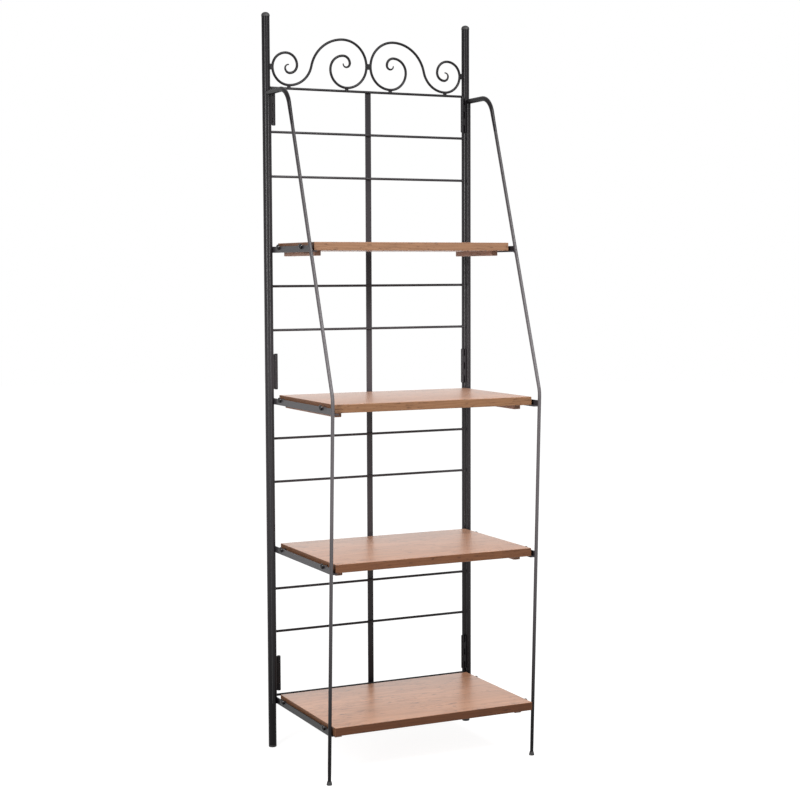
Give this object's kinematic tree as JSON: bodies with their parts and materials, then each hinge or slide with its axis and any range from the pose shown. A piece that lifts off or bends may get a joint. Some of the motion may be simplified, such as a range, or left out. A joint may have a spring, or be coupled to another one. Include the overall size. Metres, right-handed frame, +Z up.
{
  "type": "bakers rack",
  "caption": "Tall bakers rack: black steel back frame with scroll crest, hinged side frames with sloping front legs, and lift-out pine shelves.",
  "frame": {"origin": "middle of the rack's box, on the floor: under its centre between the side frames and between the front legs' knees and the backs of the post caps", "axes": "+X to the right as seen from the front, +Y to the back, +Z up"},
  "size_m": [0.573, 0.4038, 1.829],
  "materials": {
    "black_frame": "satin black powder coat on mild steel",
    "black_plastic": "moulded black polyethylene",
    "black_peg": "black painted steel, semi-gloss",
    "hinge_pin_steel": "black coated steel, worn at the heads",
    "pine_board": "edge-glued knotty pine, sanded, clear satin lacquer",
    "pine_cleat": "planed pine, clear satin lacquer",
    "zinc_screw": "zinc plated"
  },
  "bodies": {
    "back_frame": {"left_post": "black_frame", "right_post": "black_frame", "post_caps": "black_plastic", "post_foot_plugs": "black_plastic", "bottom_rail": "black_frame", "top_rail": "black_frame", "back_rod_1": "black_frame", "back_rod_2": "black_frame", "back_rod_3": "black_frame", "back_rod_4": "black_frame", "back_rod_5": "black_frame", "back_rod_6": "black_frame", "back_rod_7": "black_frame", "back_rod_8": "black_frame", "centre_bar": "black_frame", "left_scroll": "black_frame", "right_scroll": "black_frame", "scroll_weld_blocks": "black_frame", "left_fixed_leaves": "black_frame", "right_fixed_leaves": "black_frame", "hinge_pins": "hinge_pin_steel"},
    "left_side": {"left_stile": "black_frame", "left_arm": "black_frame", "left_leg": "black_frame", "left_glide": "black_plastic", "left_bottom_bracket": "black_frame", "left_lower_bracket": "black_frame", "left_upper_bracket": "black_frame", "left_top_bracket": "black_frame", "left_moving_leaves": "black_frame"},
    "right_side": {"right_stile": "black_frame", "right_arm": "black_frame", "right_leg": "black_frame", "right_glide": "black_plastic", "right_bottom_bracket": "black_frame", "right_lower_bracket": "black_frame", "right_upper_bracket": "black_frame", "right_top_bracket": "black_frame", "right_moving_leaves": "black_frame"},
    "bottom_shelf": {"bottom_shelf_board": "pine_board", "bottom_shelf_left_cleat": "pine_cleat", "bottom_shelf_right_cleat": "pine_cleat", "bottom_shelf_pegs": "black_peg", "bottom_shelf_screws": "zinc_screw"},
    "lower_shelf": {"lower_shelf_board": "pine_board", "lower_shelf_left_cleat": "pine_cleat", "lower_shelf_right_cleat": "pine_cleat", "lower_shelf_pegs": "black_peg", "lower_shelf_screws": "zinc_screw"},
    "upper_shelf": {"upper_shelf_board": "pine_board", "upper_shelf_left_cleat": "pine_cleat", "upper_shelf_right_cleat": "pine_cleat", "upper_shelf_pegs": "black_peg", "upper_shelf_screws": "zinc_screw"},
    "top_shelf": {"top_shelf_board": "pine_board", "top_shelf_left_cleat": "pine_cleat", "top_shelf_right_cleat": "pine_cleat", "top_shelf_pegs": "black_peg", "top_shelf_screws": "zinc_screw"}
  },
  "joints": [
    {"name": "left_side_fold", "type": "hinge", "parent": "back_frame", "child": "left_side", "pos_m": [-0.2615, 0.18042, 0.9495], "axis": [0, 0, 1], "range_deg": [0, 0.6]},
    {"name": "right_side_fold", "type": "hinge", "parent": "back_frame", "child": "right_side", "pos_m": [0.2615, 0.18042, 0.9495], "axis": [0, 0, -1], "range_deg": [0, 0.6]},
    {"name": "bottom_shelf_lift", "type": "slide", "parent": "back_frame", "child": "bottom_shelf", "axis": [0, 0, 1], "range_m": [0, 0.34]},
    {"name": "lower_shelf_lift", "type": "slide", "parent": "back_frame", "child": "lower_shelf", "axis": [0, 0, 1], "range_m": [0, 0.33]},
    {"name": "upper_shelf_lift", "type": "slide", "parent": "back_frame", "child": "upper_shelf", "axis": [0, 0, 1], "range_m": [0, 0.17]},
    {"name": "top_shelf_lift", "type": "slide", "parent": "back_frame", "child": "top_shelf", "axis": [0, 0, 1], "range_m": [0, 0.12]}
  ]
}
